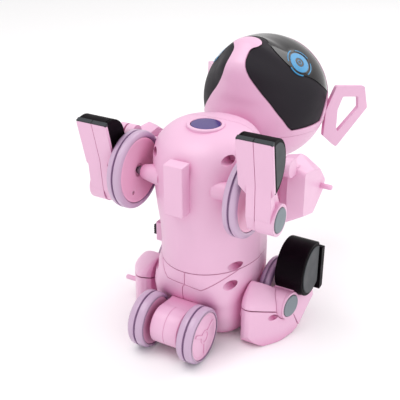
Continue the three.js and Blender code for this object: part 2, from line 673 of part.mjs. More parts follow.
function hindPaw() {
  const shape = new THREE.Shape();
  shape.absarc(PAW.y, PAW.z, PAW.radius, 0.95, 2 * Math.PI - 0.95, false);
  const sole = slabX(outline([[36.5, -3], [43, -2], [43, 35], [36.5, 36]]), SHANK_INNER + 1, LEG_OUTER + 1);
  return slabX(shape, SHANK_INNER, LEG_OUTER - 0.5).add(sole);
}

makeBody();
makeRump();
makeTailHousing();
makeInside();
for (const [name, side] of [["left", 1], ["right", -1]]) {
  makeWheel(`front_wheel_${name}`, FRONT_WHEEL, side);
  makeWheel(`tail_wheel_${name}`, TAIL_WHEEL, side);
  makeWheel(`hind_wheel_${name}`, HIND_WHEEL, side);
  makeFrontLeg(name, side);
  makeThigh(name, side, side > 0);
}
makeLowerLeg("left", 1);
makeAxle("front_axle", FRONT_WHEEL, FRONT_WHEEL.x + 3);
makeAxle("tail_axle", TAIL_WHEEL, TAIL_WHEEL.x + 4);
makeAxle("hind_axle", HIND_WHEEL, HIND_WHEEL.x + 3);
makeHead();

export default dog;
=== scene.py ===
"""Looks for the robot dog toy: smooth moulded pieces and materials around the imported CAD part.

Lengths below are in millimetres, measured as in the CAD: Y from the front axle, Z from the floor.
"""

import json
import math

import bpy
import bmesh
from mathutils import Matrix, Vector


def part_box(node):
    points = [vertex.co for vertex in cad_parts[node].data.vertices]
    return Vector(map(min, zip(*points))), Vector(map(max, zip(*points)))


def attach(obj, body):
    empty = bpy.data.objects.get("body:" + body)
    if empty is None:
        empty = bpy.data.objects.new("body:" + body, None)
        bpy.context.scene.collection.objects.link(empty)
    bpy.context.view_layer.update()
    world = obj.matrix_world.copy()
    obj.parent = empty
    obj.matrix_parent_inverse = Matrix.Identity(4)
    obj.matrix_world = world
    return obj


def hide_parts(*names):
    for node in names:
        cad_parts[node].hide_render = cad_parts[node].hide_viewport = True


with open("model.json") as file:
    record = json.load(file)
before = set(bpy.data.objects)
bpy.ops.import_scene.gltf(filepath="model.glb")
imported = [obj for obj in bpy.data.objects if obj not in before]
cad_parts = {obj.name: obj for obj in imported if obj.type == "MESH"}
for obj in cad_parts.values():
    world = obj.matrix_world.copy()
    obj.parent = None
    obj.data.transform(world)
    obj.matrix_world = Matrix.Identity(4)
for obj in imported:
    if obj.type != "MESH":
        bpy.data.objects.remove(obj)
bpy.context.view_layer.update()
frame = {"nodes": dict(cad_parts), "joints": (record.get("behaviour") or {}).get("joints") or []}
NODES = frame["nodes"]


def middle(node):
    low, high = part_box(node)
    return (low + high) / 2


SHIFT_Y = middle("front_axle").y * 1000  # the front axle's place in the row frame
PIVOT = {}
for joint in frame["joints"]:
    if "pos_m" in joint:
        x, y, z = (1000 * v for v in joint["pos_m"])
        PIVOT[joint["name"]] = Vector((x, y - SHIFT_Y, z))

SIDES = (("left", 1), ("right", -1))
GAP = 0.3  # between neighbouring pieces
FAR = 60  # past the body, for the tools that cut it
SPLIT_Y = 41  # the seam between the front and the back shells
BODY = (  # z, half width, front, back, how square the front is
    (61.5, 40, -9, 91, 2),
    (76, 39.4, -9.5, 91, 2),
    (92, 39.6, -11, 91, 2),
    (108, 40.8, -12.8, 90, 2.05),
    (124, 41.2, -13.6, 85.5, 2.1),
    (138, 41.2, -13.4, 76.5, 2.1),
    (148, 40.8, -11.5, 72.5, 2.1),
    (156, 39, -7.5, 70, 2.1),
    (162, 34.5, -1.5, 66.5, 2.1),
    (166, 29, 6, 61, 2.1),
    (168.3, 22, 14, 53, 2.1),
    (169.2, 12, 22, 43, 2.1),
)
RUMP = (
    (0, 29, 11, 70, 3),
    (1.6, 33, 6, 75, 3.2),
    (6, 36.5, 3, 80, 3.4),
    (14, 38.6, 0, 85, 3.5),
    (22, 39.6, -2.8, 88, 3.6),
    (30, 40, -4.2, 89.5, 3.6),
    (38, 40, -7.5, 90.5, 3.4),
    (50, 40, -9, 91, 2.7),
    (60.9, 40, -9, 91, 2),
)


# ---- meshes ----
def make(name, verts, faces):
    """A mesh object from points in millimetres."""
    mesh = bpy.data.meshes.new(name)
    points = [(x / 1000, (y + SHIFT_Y) / 1000, z / 1000) for x, y, z in verts]
    mesh.from_pydata(points, [], faces)
    work = bmesh.new()
    work.from_mesh(mesh)
    bmesh.ops.recalc_face_normals(work, faces=work.faces)
    work.to_mesh(mesh)
    work.free()
    obj = bpy.data.objects.new(name, mesh)
    bpy.context.scene.collection.objects.link(obj)
    return obj


def stack(rings, name="part"):
    """A closed solid through rings of equally many points."""
    count = len(rings[0])
    verts = [p for ring in rings for p in ring]
    faces = []
    for level in range(len(rings) - 1):
        for i in range(count):
            a, b = level * count + i, level * count + (i + 1) % count
            faces.append((a, b, b + count, a + count))
    last = (len(rings) - 1) * count
    faces.append(tuple(reversed(range(count))))
    faces.append(tuple(range(last, last + count)))
    return make(name, verts, faces)


def rounded(points, radius, steps=4):
    """An outline with its corners rounded. A point may carry its own radius as a third number."""
    out = []
    count = len(points)
    for i, point in enumerate(points):
        here = Vector(point[:2])
        own = point[2] if len(point) > 2 else radius
        before = Vector(points[i - 1][:2]) - here
        after = Vector(points[(i + 1) % count][:2]) - here
        half = before.angle(after) / 2
        reach = min(max(own / math.tan(min(half, 1.55)), 0.15), before.length * 0.48, after.length * 0.48)
        start, end = here + before.normalized() * reach, here + after.normalized() * reach
        for k in range(steps + 1):
            t = k / steps
            out.append(tuple((1 - t) ** 2 * start + 2 * t * (1 - t) * here + t * t * end))
    return out


def place(axis, a, b, along):
    return {"x": (along, a, b), "y": (a, along, b), "z": (a, b, along)}[axis]


def prism(axis, points, low, high, name="part"):
    """An outline pulled along an axis: in Y and Z for x, X and Z for y, X and Y for z."""
    return stack([[place(axis, a, b, along) for a, b in points] for along in (low, high)], name)


def lathe(axis, profile, centre, steps=64, name="part"):
    """A closed profile of (radius, distance along the axis), turned about an axis through a point."""
    verts, faces = [], []
    count = len(profile)
    for i in range(steps):
        angle = 2 * math.pi * i / steps
        for radius, along in profile:
            spot = Vector(place(axis, radius * math.cos(angle), radius * math.sin(angle), along))
            verts.append(tuple(spot + Vector(centre)))
    for i in range(steps):
        for k in range(count):
            a, b = i * count + k, i * count + (k + 1) % count
            c = ((i + 1) % steps) * count
            faces.append((a, b, c + (k + 1) % count, c + k))
    obj = make(name, verts, faces)
    work = bmesh.new()
    work.from_mesh(obj.data)
    bmesh.ops.remove_doubles(work, verts=work.verts, dist=1e-7)
    bmesh.ops.dissolve_degenerate(work, edges=work.edges, dist=1e-8)
    bmesh.ops.recalc_face_normals(work, faces=work.faces)
    work.to_mesh(obj.data)
    work.free()
    return obj


def rod(axis, radius, low, high, centre, steps=48, end=None, name="part"):
    last = radius if end is None else end
    return lathe(axis, [(0, low), (radius, low), (last, high), (0, high)], centre, steps, name)


def block(low, high, name="part"):
    (x0, y0, z0), (x1, y1, z1) = low, high
    return prism("x", [(y0, z0), (y1, z0), (y1, z1), (y0, z1)], x0, x1, name)


def combine(obj, others, operation):
    """Joins other solids to obj, cuts them from it, or keeps what they share."""
    for other in others:
        modifier = obj.modifiers.new("combine", "BOOLEAN")
        modifier.operation = operation
        modifier.solver = "MANIFOLD"
        modifier.object = other
        bpy.context.view_layer.update()
        graph = bpy.context.evaluated_depsgraph_get()
        mesh = bpy.data.meshes.new_from_object(obj.evaluated_get(graph))
        if not mesh.polygons:
            modifier.solver = "EXACT"
            bpy.context.view_layer.update()
            graph = bpy.context.evaluated_depsgraph_get()
            mesh = bpy.data.meshes.new_from_object(obj.evaluated_get(graph))
        obj.modifiers.clear()
        obj.data = mesh
        bpy.data.objects.remove(other)
    return obj


def cut(obj, *others):
    return combine(obj, others, "DIFFERENCE")


def fuse(obj, *others):
    return combine(obj, others, "UNION")


def common(obj, *others):
    return combine(obj, others, "INTERSECT")


def mirrored(obj, side):
    """Turns a piece made for the +X side into the one for the given side."""
    if side < 0:
        obj.data.transform(Matrix.Scale(-1, 4, Vector((1, 0, 0))))
        obj.data.flip_normals()
    return obj


def swung(obj, pivot, angle, axis="X"):
    """Turns a mesh by an angle about an axis through a point in millimetres."""
    x, y, z = pivot
    centre = Vector((x / 1000, (y + SHIFT_Y) / 1000, z / 1000))
    turn = Matrix.Translation(centre) @ Matrix.Rotation(angle, 4, axis) @ Matrix.Translation(-centre)
    obj.data.transform(turn)
    return obj


def finished(obj, name, material, body, slot, replaces=(), edge=0.0, segments=3, angle=32):
    """Names a piece, rounds its edges, gives it its material, hangs it on its body and hides the CAD part
    that it replaces.
    """
    obj.name = obj.data.name = name
    obj.data.materials.clear()
    obj.data.materials.append(material)
    obj.data.shade_smooth()
    obj.data.set_sharp_from_angle(angle=math.radians(angle))
    if edge:
        bevel = obj.modifiers.new("edges", "BEVEL")
        bevel.width = edge / 1000
        bevel.segments = segments
        bevel.limit_method = "ANGLE"
        bevel.angle_limit = math.radians(angle)
        bevel.harden_normals = True
    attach(obj, body)
    if replaces:
        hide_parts(*([replaces] if isinstance(replaces, str) else replaces))
    return obj


def pink(obj, name, body, replaces=(), **edges):
    return finished(obj, name, PINK, body, "pink_shell", replaces, **edges)


# ---- materials ----
PAINTED_SHADE_REACH = 0.012  # metres, how far off a neighbour casts painted shade on a surface
GRAIN_DEPTH = 0.0004  # metres
COAT_ROUGHNESS = 0.08
DRIFT = 0.965  # the darker end of the colour's slow drift
PATCH_SCALE = 22  # of that drift
EDGE_RADIUS = 0.00045  # metres


def srgb(code):
    parts = [(code >> shift & 255) / 255 for shift in (16, 8, 0)]
    return [p / 12.92 if p <= 0.04045 else ((p + 0.055) / 1.055) ** 2.4 for p in parts] + [1]


def plastic(name, colour, deep, rough, spread=0.05, grain=900, bump=0.03, coat=0.0, **extra):
    """Moulded plastic or rubber: colour that drifts a little, painted shade that pulls it towards the deep
    colour in creases and next to neighbouring parts, uneven gloss, a fine surface grain, and rounded edges."""
    material = bpy.data.materials.new(name)
    material.use_nodes = True
    tree = material.node_tree
    nodes, links = tree.nodes, tree.links
    shader = nodes["Principled BSDF"]
    where = nodes.new("ShaderNodeTexCoord")

    def noise(scale, detail):
        node = nodes.new("ShaderNodeTexNoise")
        node.inputs["Scale"].default_value = scale
        node.inputs["Detail"].default_value = detail
        links.new(where.outputs["Object"], node.inputs["Vector"])
        return node.outputs["Fac"]

    def ramp(value, low, high, to_low, to_high):
        node = nodes.new("ShaderNodeMapRange")
        for socket, number in zip(("From Min", "From Max", "To Min", "To Max"), (low, high, to_low, to_high)):
            node.inputs[socket].default_value = number
        links.new(value, node.inputs["Value"])
        return node.outputs["Result"]

    def mix(fac, one, two):
        node = nodes.new("ShaderNodeMix")
        node.data_type = "RGBA"
        links.new(fac, node.inputs["Factor"])
        for socket, value in ((node.inputs["A"], one), (node.inputs["B"], two)):
            if isinstance(value, (list, tuple)):
                socket.default_value = value
            else:
                links.new(value, socket)
        return node.outputs["Result"]

    # painted shade: ambient occlusion pulls the colour towards the deep colour in creases and next to other
    # parts
    crease = nodes.new("ShaderNodeAmbientOcclusion")
    crease.samples = 6
    crease.inputs["Distance"].default_value = PAINTED_SHADE_REACH
    base = [c * DRIFT for c in srgb(colour)[:3]] + [1]
    drift = mix(ramp(noise(PATCH_SCALE, 3), 0.35, 0.65, 0, 1), base, srgb(colour))
    tone = mix(ramp(crease.outputs["AO"], 0.25, 0.95, 0, 1), srgb(deep), drift)
    links.new(tone, shader.inputs["Base Color"])
    gloss = ramp(noise(PATCH_SCALE * 5, 4), 0.3, 0.7, rough - spread, rough + spread)
    links.new(gloss, shader.inputs["Roughness"])
    soft = nodes.new("ShaderNodeBevel")
    soft.samples = 4
    soft.inputs["Radius"].default_value = EDGE_RADIUS
    rough_skin = nodes.new("ShaderNodeBump")
    rough_skin.inputs["Strength"].default_value = bump
    rough_skin.inputs["Distance"].default_value = GRAIN_DEPTH
    links.new(noise(grain, 2), rough_skin.inputs["Height"])
    links.new(soft.outputs["Normal"], rough_skin.inputs["Normal"])
    links.new(rough_skin.outputs["Normal"], shader.inputs["Normal"])
    shader.inputs["Coat Weight"].default_value = coat
    shader.inputs["Coat Roughness"].default_value = COAT_ROUGHNESS
    for socket, value in extra.items():
        shader.inputs[socket.replace("_", " ")].default_value = value
    return material


# the second colour of each material is its painted shade, which the surface takes on in creases and next to
# other parts
PINK = plastic("pink_shell", 0xE6B8D4, 0xDB8DB9, 0.42, coat=0.08)
HUB = plastic("pink_hub", 0xF4BDDA, 0xEBA3C8, 0.42)
TYRE = plastic("clear_tyre", 0xD2B4D1, 0x936B9A, 0.34, coat=0.2, Transmission_Weight=0.15, IOR=1.42)
RUBBER = plastic("black_rubber", 0x0A0309, 0x030102, 0.45, grain=700, bump=0.1, Specular_IOR_Level=0.05)
RUBBER_SIDE = plastic(
    "charcoal_rubber", 0x34383C, 0x161719, 0.45, grain=700, bump=0.1, Specular_IOR_Level=0.25,
)
POLISHED = {"spread": 0.04, "bump": 0.006, "coat": 0.25, "Specular_IOR_Level": 0.3}
VISOR = plastic("black_visor", 0x121012, 0x060506, 0.16, **POLISHED)
EYE_DARK = plastic("eye_dark", 0x0C0C12, 0x050508, 0.16, **POLISHED)
CHEEK = plastic("charcoal_visor", 0x2A272C, 0x131114, 0.5, grain=1500, bump=0.08, Specular_IOR_Level=0.1)
GREY = plastic("grey_cap", 0x7D868D, 0x5C6065, 0.5, grain=1300, bump=0.1, Specular_IOR_Level=0.3)
LENS = plastic("lens_violet", 0x3D2275, 0x24134A, 0.2, bump=0.01, coat=0.3, Specular_IOR_Level=0.35)
EYE_BLUE = plastic("eye_blue", 0x368CBE, 0x216C9C, 0.3, bump=0.01, coat=0.1, Specular_IOR_Level=0.3)
STEEL = plastic("steel", 0xB9BDC2, 0x6E7276, 0.3, grain=400, bump=0.05, Metallic=1.0)
BOARD = plastic("circuit_green", 0x2F7A4D, 0x174026, 0.5, bump=0.05)
DARK = plastic("dark_plastic", 0x241D25, 0x121014, 0.45, bump=0.08, Specular_IOR_Level=0.3)


# ---- body ----
def blended(sections, steps):
    """Sections joined by a smooth curve through all of them."""
    out = []
    last = len(sections) - 1
    for i in range(last):
        four = [sections[min(max(i + k, 0), last)] for k in (-1, 0, 1, 2)]
        for k in range(steps):
            t = k / steps
            row = []
            for a, b, c, d in zip(*four):
                value = 2 * b + (c - a) * t + (2 * a - 5 * b + 4 * c - d) * t * t
                row.append((value + (3 * b - a - 3 * c + d) * t**3) / 2)
            out.append(row)
    return out + [list(sections[-1])]


def curve(value, power):
    return math.copysign(abs(value) ** (2 / power), value)


def body_half(sections, front, grow=0.0, around=72):
    """The front or the back of a body, closed by a flat face at the seam."""
    rings = []
    seam = SPLIT_Y + (-GAP / 2 if front else GAP / 2)
    for z, half, low, high, power in blended(sections, 5):
        centre, deep = (low + high) / 2, (high - low) / 2 + grow
        wide = half + grow
        level = max(-1, min(1, (seam - centre) / deep))
        start = math.asin(level if level > 0 else -abs(level) ** (power / 2))
        span = math.pi + 2 * start if front else math.pi - 2 * start
        ring = []
        for i in range(around + 1):
            angle = start - span * i / around if front else start + span * i / around
            square = power if math.sin(angle) < 0 else 2
            x = wide * curve(math.cos(angle), square)
            ring.append((x, centre + deep * curve(math.sin(angle), square), z))
        rings.append(ring)
    return stack(rings)


WELL_RADIUS = 3.4
WELL_DEPTH = 9
CHEST_WELLS = ((29.5, 154.5, 4), (-29.5, 150, 4), (32.5, 65, 12), (-32.5, 65, 12))  # X, Z and the face's Y
RUMP_WELLS = ((32.3, 51.5, 5), (-32.3, 51.5, 5))
LINE_WIDTH = 0.55
LINE_OVERLAP = 0.3
LINE_DEPTH = 0.6
RUMP_LINE = ((-38, 75), (-25.1, 60.5), (-15.2, 51), (0.7, 50.4), (14.5, 48.3), (27.1, 56.4), (34.5, 60.9))
RUMP_SEAM = ((0.8, 64.5), (0.7, 50.4), (-1.4, 46.9), (-1.7, 34))
SHELL_EDGE = {"edge": 0.35, "segments": 2}
LENS_Y = 25
LENS_ROOM = 11.6
LENS_RING = ((11.6, 166), (14.3, 164), (14.3, 169.3), (13.9, 169.9), (11.9, 170.1), (11.6, 169.8))
LENS_DOME = ((0, 167), (11.3, 167), (11.3, 169.6), (10.8, 169.95), (7, 170), (0, 170))
DOOR = (24, 74, 128)  # half width, low and high
DOOR_SKIN = 2.4
BELLY_PANEL = ((-12, 8.058, 114.8, 154.6), (-22.9, 7.8, 115, 154.2))  # Y, half width, low and high
SWITCH_ROOM = ((12.5, 70), (20.5, 84))  # from front and low to back and high
NECK_RADIUS = 10
NECK_Z = 143
AXLE_Z = 133.1
BOSS = ((0, 20), (8, 22), (7.6, 27), (6.7, 33), (5.4, 38.6), (4.8, 39.4), (0, 39.5))  # radius and X
BUSH = ((0, 39), (3.2, 39), (3.2, 43.2), (2.8, 43.6), (0, 43.6))
TAIL_Y = -25.6
TAIL_Z = 22
BARREL_RADIUS = 15
BARREL_HALF = 12
BARREL_CHAMFER = 0.8
BARREL_SEAM = (0.35, 0.4)  # half width and depth


def well(x, z, front):
    return rod("y", WELL_RADIUS, -FAR, front + WELL_DEPTH, (x, 0, z), 40)


def groove(points):
    """Narrow slots along a line in X and Z, for panel lines in a face that looks towards -Y."""
    parts = []
    for (x0, z0), (x1, z1) in zip(points, points[1:]):
        along = Vector((x1 - x0, z1 - z0)).normalized() * LINE_OVERLAP
        side = Vector((-along.y, along.x)).normalized() * LINE_WIDTH / 2
        a, b = Vector((x0, z0)) - along, Vector((x1, z1)) + along
        corners = [tuple(p) for p in (a + side, b + side, b - side, a - side)]
        parts.append(prism("y", corners, -FAR, FAR))
    return fuse(*parts)


def switch_room(x):
    (near, low), (far, high) = SWITCH_ROOM
    return block((-FAR, near, low), (x, far, high))


def door_block(grow=0.0):
    half, low, high = DOOR
    return block((-half - grow, 60, low - grow), (half + grow, 110, high + grow))


def make_chest_front():
    front = cut(body_half(BODY, True), *[well(*spot) for spot in CHEST_WELLS])
    front = cut(front, rod("z", LENS_ROOM, 166, 175, (0, LENS_Y, 0), 64), switch_room(-28))
    pink(front, "chest_front", "torso", "chest_front_shell", **SHELL_EDGE)


def make_chest_back():
    pocket = common(door_block(GAP), body_half(BODY, False, grow=1))
    pocket = cut(pocket, body_half(BODY, False, grow=-3))
    neck_room = rod("y", NECK_RADIUS + GAP, 50, 100, (0, 0, NECK_Z), 64)
    back = cut(body_half(BODY, False), neck_room, pocket)
    pink(back, "chest_back", "torso", "chest_back_shell", **SHELL_EDGE)


def make_battery_door():
    """A thin curved lid with the speaker's slots."""
    door = common(door_block(), body_half(BODY, False))
    door = cut(door, body_half(BODY, False, grow=-DOOR_SKIN))
    for i in range(6):
        z = 82 + 3.2 * i
        door = cut(door, block((-9, 60, z), (9, 110, z + 1.2)))
    pink(door, "battery_door_panel", "torso", "battery_door", edge=0.3, segments=2)


def make_rump():
    wide = BARREL_HALF + GAP
    barrel_room = rod("x", BARREL_RADIUS + GAP, -wide, wide, (0, TAIL_Y, TAIL_Z))
    low = cut(body_half(RUMP, True), *[well(*spot) for spot in RUMP_WELLS])
    low = cut(low, barrel_room, block((-wide, TAIL_Y, 9), (wide, 8, 35)))
    lines = fuse(groove(RUMP_LINE), groove(RUMP_SEAM))
    low = cut(low, cut(lines, body_half(RUMP, True, grow=-LINE_DEPTH)))
    pink(low, "rump_front", "torso", "rump_front_shell", **SHELL_EDGE)
    pink(body_half(RUMP, False), "rump_back", "torso", "rump_back_shell", **SHELL_EDGE)


def make_sensor():
    centre = (0, LENS_Y, 0)
    pink(lathe("z", LENS_RING, centre, 80), "lens_ring", "torso")
    finished(lathe("z", LENS_DOME, centre, 80), "lens", LENS, "torso", "lens_violet", "sensor_lens")


def make_belly_panel():
    rings = []
    for y, half, low, high in BELLY_PANEL:
        rings.append([(-half, y, low), (half, y, low), (half, y, high), (-half, y, high)])
    pink(stack(rings), "belly_panel", "torso", "belly_cover", edge=0.9)


def make_axle_bosses():
    for name, side in SIDES:
        boss = lathe("x", [(r, side * a) for r, a in BOSS], (0, 0, AXLE_Z), 48)
        pink(boss, f"axle_boss_{name}", "torso")
        bush = lathe("x", BUSH, (0, 0, AXLE_Z), 40)
        finished(mirrored(bush, side), f"axle_bush_{name}", STEEL, "torso", "steel")


def make_switch():
    """A ridged sliding knob in a thin frame."""
    knob = block((-40.4, 13.2, 73), (-30, 19.8, 81))
    for i in range(4):
        z = 74.2 + 1.8 * i
        knob = cut(knob, block((-42, 12, z), (-39.9, 21, z + 0.7)))
    finished(knob, "switch_knob", DARK, "power_switch", "dark_plastic", "power_switch", edge=0.3)
    bezel = cut(block((-37, 11.6, 69), (-28, 21.4, 85)), switch_room(-20))
    pink(bezel, "switch_bezel", "torso", edge=0.5)


def make_neck():
    post = rod("y", NECK_RADIUS, 60, 92, (0, 0, NECK_Z), 48)
    pink(post, "neck", "torso", "neck_post")


def make_tail():
    """The barrel around the tail axle, with a fine seam around its middle, and its arm to the rump."""
    radius, half, chamfer = BARREL_RADIUS, BARREL_HALF, BARREL_CHAMFER
    wide, deep = BARREL_SEAM
    outer = [(radius - chamfer, half), (radius, half - chamfer), (radius, wide)]
    profile = [(0, -half), *[(r, -x) for r, x in outer], (radius - deep, 0), *reversed(outer), (0, half)]
    barrel = lathe("x", profile, (0, TAIL_Y, TAIL_Z), 80)
    side_view = rounded([(TAIL_Y, 8.6), (7.3, 10.5), (7.3, 34.5), (-10, 34.6), (TAIL_Y, 36.4)], 4)
    arm = prism("x", side_view, -11.8, 11.8)
    pink(fuse(barrel, arm), "tail_housing", "torso", "tail_axle_housing", edge=0.4, segments=2)


# ---- wheels ----
RELIEF_ANGLES = (30, 150, 270)
RELIEF_LOW = 1.5  # under the tyre's side
RELIEF_HIGH = 0.1  # over it
AXLE_HOLE = 2.3
SCREW_RADIUS = 1.4


def place_of(body):
    """A wheel's centre, and the side that it is on."""
    centre = middle(f"{body}_tyre") * 1000
    centre.y -= SHIFT_Y
    return centre, 1 if centre.x > 0 else -1


def make_tyre(body, r, h, hub):
    """A tyre with rounded shoulders and a narrow groove around its middle."""
    centre, side = place_of(body)
    half_tread = [
        (hub + 0.3, h - 0.4), (hub + 1.2, h), (r - 3.2, h), (r - 1.3, h - 0.5), (r - 0.35, h - 1.5),
        (r, h - 2.8), (r, 1), (r - 0.3, 0.75), (r - 1.6, 0.6),
    ]
    tread = [(radius, -along) for radius, along in half_tread] + half_tread[::-1]
    tyre = lathe("x", [(radius, side * along) for radius, along in tread], centre, 112)
    finished(tyre, f"{body}_tread", TYRE, body, "clear_tyre", f"{body}_tyre", angle=50)


def relief(centre, side, h, hub):
    """A ring and three arms that stand up from a hub's cap."""
    low, high = h - RELIEF_LOW, h + RELIEF_HIGH
    ring = [(4.2, low), (5.4, low), (5.4, high), (4.2, high)]
    parts = [lathe("x", [(r, side * a) for r, a in ring], centre, 48)]
    for angle in RELIEF_ANGLES:
        u = Vector((math.cos(math.radians(angle)), math.sin(math.radians(angle))))
        v = Vector((-u.y, u.x))
        corners = [u * a + v * b for a, b in ((5.2, 1.1), (hub - 4, 1.1), (hub - 4, -1.1), (5.2, -1.1))]
        outline = rounded([(centre.y + p.x, centre.z + p.y) for p in corners], 0.8)
        parts.append(prism("x", outline, *sorted((centre.x + side * low, centre.x + side * high))))
    return parts


def make_hub(body, h, hub, capped):
    """A dished hub. A capped one hides its axle under a relief."""
    centre, side = place_of(body)
    face = [(6, h - 1.2), (5, h - 0.8), (AXLE_HOLE, h - 0.8)]
    if capped:
        face = [(hub - 3, h - 0.7), (0, h - 0.3), (0, h - 2.6), (AXLE_HOLE, h - 2.6)]
    dish = [
        (AXLE_HOLE, -h + 2.9), (4.6, -h + 2.9), (5.2, -h + 1.6), (7.5, -h + 1.6), (hub - 2.6, -h + 1.2),
        (hub - 1.8, -h + 0.6), (hub - 0.2, -h + 0.6), (hub, -h + 0.9), (hub, h - 0.9), (hub - 0.2, h - 0.6),
        (hub - 1.8, h - 0.6), (hub - 2.3, h - 1), *face,
    ]
    disc = lathe("x", [(r, side * a) for r, a in dish], centre, 96)
    spot = centre + Vector((0, -0.1 if capped else -0.35, -0.62)) * hub
    inward = lambda low, high: sorted((-side * (h + low), -side * (h + high)))
    disc = cut(disc, rod("x", SCREW_RADIUS + 0.2, *inward(-4.4, 2), spot, 24))
    if capped:
        disc = fuse(disc, *relief(centre, side, h, hub))
    material = PINK if capped else HUB
    finished(disc, f"{body}_disc", material, body, "pink_hub", f"{body}_hub", edge=0.2, segments=2, angle=40)
    pin = rod("x", SCREW_RADIUS, *inward(-4.2, -2.6), spot, 20)
    finished(pin, f"{body}_screw", STEEL, body, "steel")


def make_wheel(body, radius, half, hub, capped=False):
    make_tyre(body, radius, half, hub)
    make_hub(body, half, hub, capped)


# ---- head ----
HEAD = Vector((0, 126.9, 160.2))
HEAD_RADIUS = 52
MUZZLE = (
    (-180, 0), (-40, 0), (-12, -1.5), (9, -2.2), (17, 1.5), (26, 6.8), (37, 16.5), (42, 16.5), (48, 15.5),
    (56, 15.8), (62, 12.5), (68, 9), (75, 4), (88, 0.5), (100, 0), (180, 0),
)
HEAD_SEAM = 142.2
HEAD_BORE = 10.5
EYE_ROOM = 10.3
STRIP = (  # half width and height
    (40.5, 147), (38, 151), (35, 157.5), (30, 165), (25.5, 171.5), (20, 178.5), (16, 184.5), (12.5, 190.5),
    (10, 196), (8, 201.5), (7, 205), (6.6, 208.5), (7, 211), (9, 212.6), (11.8, 213.4), (13, 215.5),
)
STRIP_SHIFT = -1.5
CREASE = (
    (113, 218), (106, 215), (101.6, 213), (99.6, 209.5), (100, 205.4), (101.6, 200.6), (103.7, 195.4),
    (106.5, 191.5), (111.3, 188.7), (117.2, 185.6), (122.9, 181.6), (128.3, 177), (135.3, 172.3), (150, 163),
)


def smooth_line(points, steps=4, closed=False):
    """A curve through points."""
    out = []
    count = len(points)
    for i in range(count if closed else count - 1):
        pick = lambda k: Vector(points[(i + k) % count] if closed else points[min(max(i + k, 0), count - 1)])
        a, b, c, d = pick(-1), pick(0), pick(1), pick(2)
        for k in range(steps):
            t = k / steps
            spot = 2 * b + (c - a) * t + (2 * a - 5 * b + 4 * c - d) * t * t + (3 * b - a - 3 * c + d) * t**3
            out.append(tuple(spot / 2))
    return out if closed else out + [tuple(points[-1])]


def muzzle(degrees):
    """How far the muzzle stands out of the ball of the head, on a smooth curve through MUZZLE."""
    for i, (angle, _) in enumerate(MUZZLE):
        if angle >= degrees and i:
            break
    four = [MUZZLE[min(max(i + k, 0), len(MUZZLE) - 1)] for k in (-2, -1, 0, 1)]
    (x1, b), (x2, c) = four[1:3]
    h = x2 - x1
    t = (degrees - x1) / h
    steep = lambda p, q: (q[1] - p[1]) / max(q[0] - p[0], 1e-6)
    m1 = (steep(four[0], four[1]) + steep(four[1], four[2])) / 2 if four[0] != four[1] else 0
    m2 = (steep(four[1], four[2]) + steep(four[2], four[3])) / 2 if four[2] != four[3] else 0
    near = (2 * t**3 - 3 * t**2 + 1) * b + (t**3 - 2 * t**2 + t) * h * m1
    return near + (3 * t**2 - 2 * t**3) * c + (t**3 - t**2) * h * m2


def head_solid(margin, around=144, across=72):
    verts, faces = [], []

    def spot(turn, side):
        radius = HEAD_RADIUS - margin + math.exp(-((side / 0.42) ** 2)) * muzzle(math.degrees(turn))
        flat = radius * math.cos(side)
        return (radius * math.sin(side), HEAD.y - flat * math.cos(turn), HEAD.z + flat * math.sin(turn))

    for j in range(1, across):
        for i in range(around):
            verts.append(spot(-math.pi + 2 * math.pi * i / around, math.pi * (j / across - 0.5)))
    poles = len(verts)
    verts += [spot(0, -math.pi / 2), spot(0, math.pi / 2)]
    for i in range(around):
        n = (i + 1) % around
        for j in range(across - 2):
            row = j * around
            faces.append((row + i, row + n, row + around + n, row + around + i))
        top = (across - 2) * around
        faces.append((poles, n, i))
        faces.append((poles + 1, top + i, top + n))
    return make("head_solid", verts, faces)


def shell(margin, thick=2.4):
    return cut(head_solid(margin), head_solid(margin + thick, 72, 36))


def side_slab(points, low=-80, high=80):
    return prism("x", points, low, high)


def strip_slab(grow):
    """The chin strip and its round pad: an outline from the front, and one from above for the far edge."""
    right = [(x + grow, z) for x, z in smooth_line(STRIP)] + [(13 + grow, 240)]
    outline = [(x + STRIP_SHIFT, z) for x, z in right + [(-x, z) for x, z in reversed(right)]]
    wide = 13 + grow
    pad = rounded([(-wide, 40, 0), (wide, 40, 0), (wide, 98.5 + grow), (-wide, 98.5 + grow)], 9, 8)
    above = prism("z", [(x + STRIP_SHIFT, y) for x, y in pad], 205, 240)
    above = fuse(above, block((-60, 40, 120), (60, 102, 206)))
    return common(prism("y", outline, 40, 102), above)


VISOR_EDGE = (
    (149.5, 240), (149, 181), (148, 174), (145.5, 168), (137, 164.5), (130, 158.5), (127, 153), (125, 148.5),
)


def face_zone(grow):
    edge = smooth_line([(y - 0.7 * grow, z + 0.7 * grow) for y, z in VISOR_EDGE])
    band = [(40, 132), (200, 132), (200, 240), *edge, (40, 147 + grow)]
    return fuse(side_slab(band), strip_slab(grow))


ARCS = ((8, 74), (98, 165), (190, 256), (282, 345))


def about_eye(obj, side):
    """Moves a mesh made about the Z axis to the axis that comes out of the head through an eye."""
    out = (Vector((side * 34, 115, 197.6)) - HEAD).normalized()
    turn = out.to_track_quat("Z", "Y").to_matrix().to_4x4()
    shift = Matrix.Translation(Vector((0, SHIFT_Y / 1000, 0)))
    home = Matrix.Translation(Vector((HEAD.x / 1000, (HEAD.y + SHIFT_Y) / 1000, HEAD.z / 1000)))
    obj.data.transform(home @ turn @ shift.inverted())
    return obj


def eye_bore(side, radius):
    return about_eye(rod("z", radius, 40, 70, (0, 0, 0), 72), side)


